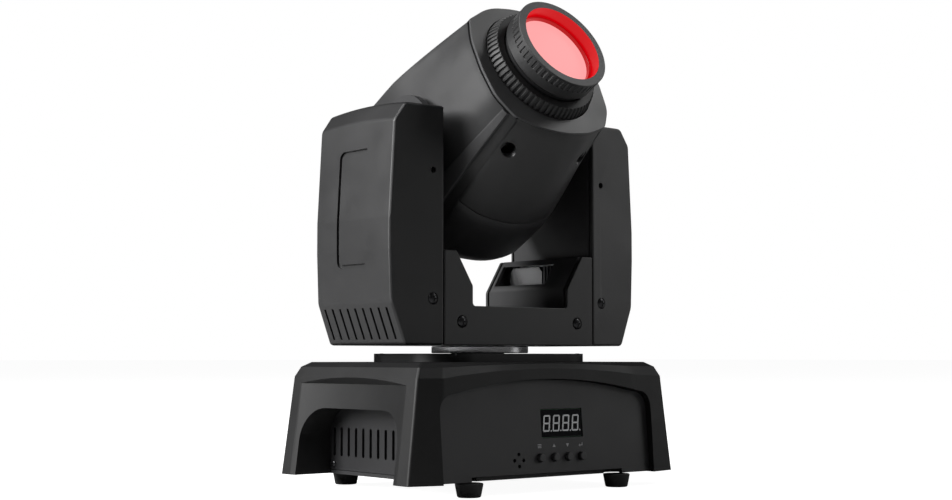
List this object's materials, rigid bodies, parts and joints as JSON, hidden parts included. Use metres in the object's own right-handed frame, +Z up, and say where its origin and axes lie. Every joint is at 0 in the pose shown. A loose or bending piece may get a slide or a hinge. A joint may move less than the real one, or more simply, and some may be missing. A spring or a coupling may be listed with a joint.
{
  "type": "moving head light",
  "caption": "Compact moving head spot light: a box base with control panel, a two-armed yoke that pans and a head with a focus lens that tilts.",
  "frame": {"origin": "on the pan axis at the underside of the base plate, where a clamp bracket bolts on", "axes": "+X from arm to arm along the tilt axis, -Y towards the front control panel, +Z up the pan axis"},
  "size_m": [0.1932, 0.1509, 0.2713],
  "materials": {
    "black_shell": "fine matte texture",
    "dark_shell": "matte",
    "rubber_foot": "matte",
    "steel_sheet": "zinc plated",
    "bright_metal": "polished",
    "black_metal": "satin black",
    "circuit_board": "satin",
    "lens_glass": "polished",
    "drive_belt": "matte",
    "nylon": "satin",
    "button_cap": "satin"
  },
  "bodies": {
    "base": {"base_shell": "black_shell", "front_panel": "black_shell", "rear_panel": "black_shell", "bottom_plate": "black_metal", "vent_panel_left": "dark_shell", "vent_panel_right": "dark_shell", "foot_front_left": "rubber_foot", "foot_front_right": "rubber_foot", "foot_rear_left": "rubber_foot", "foot_rear_right": "rubber_foot", "top_plate": "black_shell", "pan_shaft": "bright_metal", "pan_pulley": "nylon", "power_supply": "circuit_board", "control_board": "circuit_board", "power_inlet": "dark_shell", "dmx_input": "black_metal", "dmx_output": "black_metal"},
    "yoke": {"yoke_base_plate": "steel_sheet", "frame_plate_left": "steel_sheet", "frame_plate_right": "steel_sheet", "front_bezel": "black_shell", "rear_bezel": "black_shell", "arm_cover_left": "black_shell", "arm_cover_right": "black_shell", "inner_cover_left": "black_shell", "inner_cover_right": "black_shell", "bezel_screw_left": "black_metal", "bezel_screw_right": "black_metal", "arm_screw_left": "black_metal", "arm_screw_right": "black_metal", "pan_motor": "steel_sheet", "pan_belt": "drive_belt", "tilt_motor": "bright_metal", "tilt_belt": "drive_belt", "driver_heat_sink": "black_metal"},
    "head": {"upper_shell": "black_shell", "lower_cover": "black_shell", "rear_cover": "dark_shell", "front_cap": "black_shell", "lens_collar": "black_shell", "optics_frame": "steel_sheet", "tilt_hub_left": "black_metal", "tilt_hub_right": "black_metal", "tilt_pulley": "nylon", "colour_motor": "steel_sheet", "gobo_motor": "steel_sheet", "heat_sink": "bright_metal"},
    "pan_pinion": {"pan_pinion": "bright_metal"},
    "tilt_pinion": {"tilt_pinion": "bright_metal"},
    "focus_ring": {"focus_ring": "black_metal"},
    "lens_carrier": {"lens_cell": "black_metal", "front_lens": "lens_glass"},
    "colour_wheel": {"colour_wheel": "bright_metal"},
    "gobo_wheel": {"gobo_wheel": "bright_metal"},
    "fan_rotor": {"fan_rotor": "dark_shell"},
    "button_menu": {"button_menu": "button_cap"},
    "button_up": {"button_up": "button_cap"},
    "button_down": {"button_down": "button_cap"},
    "button_enter": {"button_enter": "button_cap"}
  },
  "joints": [
    {"name": "pan", "type": "hinge", "parent": "base", "child": "yoke", "pos_m": [0, 0, 0.0721], "axis": [0, 0, 1], "range_deg": [-270, 270]},
    {"name": "pan_pinion_spin", "type": "hinge", "parent": "yoke", "child": "pan_pinion", "pos_m": [-0.07, 0, 0.0825], "axis": [0, 0, 1], "range_deg": [-930, 930]},
    {"name": "tilt", "type": "hinge", "parent": "yoke", "child": "head", "pos_m": [0, 0, 0.1898], "axis": [1, 0, 0], "range_deg": [-195, 74.5]},
    {"name": "tilt_pinion_spin", "type": "hinge", "parent": "yoke", "child": "tilt_pinion", "pos_m": [0.0733, 0.0159, 0.1054], "axis": [1, 0, 0], "range_deg": [-345, 345]},
    {"name": "focus", "type": "hinge", "parent": "head", "child": "focus_ring", "pos_m": [0, -0.05779, 0.2298], "axis": [0, -0.8699, 0.4932], "range_deg": [-60, 60]},
    {"name": "lens_slide", "type": "slide", "parent": "head", "child": "lens_carrier", "axis": [0, -0.8699, 0.4932], "range_m": [-0.0026, 0.0026]},
    {"name": "colour_spin", "type": "hinge", "parent": "head", "child": "colour_wheel", "pos_m": [-0.017, -0.01342, 0.20465], "axis": [0, -0.8699, 0.4932], "continuous": true},
    {"name": "gobo_spin", "type": "hinge", "parent": "head", "child": "gobo_wheel", "pos_m": [0.017, -0.01777, 0.20712], "axis": [0, -0.8699, 0.4932], "continuous": true},
    {"name": "fan_spin", "type": "hinge", "parent": "head", "child": "fan_rotor", "pos_m": [0, 0.03921, 0.17481], "axis": [0, -0.8699, 0.4932], "continuous": true},
    {"name": "press_menu", "type": "slide", "parent": "base", "child": "button_menu", "axis": [0, 0.9965, -0.0838], "range_m": [0, 0.001], "stiffness_N_per_m": 200},
    {"name": "press_up", "type": "slide", "parent": "base", "child": "button_up", "axis": [0, 0.9965, -0.0838], "range_m": [0, 0.001], "stiffness_N_per_m": 200},
    {"name": "press_down", "type": "slide", "parent": "base", "child": "button_down", "axis": [0, 0.9965, -0.0838], "range_m": [0, 0.001], "stiffness_N_per_m": 200},
    {"name": "press_enter", "type": "slide", "parent": "base", "child": "button_enter", "axis": [0, 0.9965, -0.0838], "range_m": [0, 0.001], "stiffness_N_per_m": 200}
  ],
  "couplings": [
    {"joint": "pan_pinion_spin", "follows": "pan", "ratio": -3.4286},
    {"joint": "tilt_pinion_spin", "follows": "tilt", "ratio": 1.75},
    {"joint": "lens_slide", "follows": "focus", "m_per_rad": 0.00238}
  ]
}
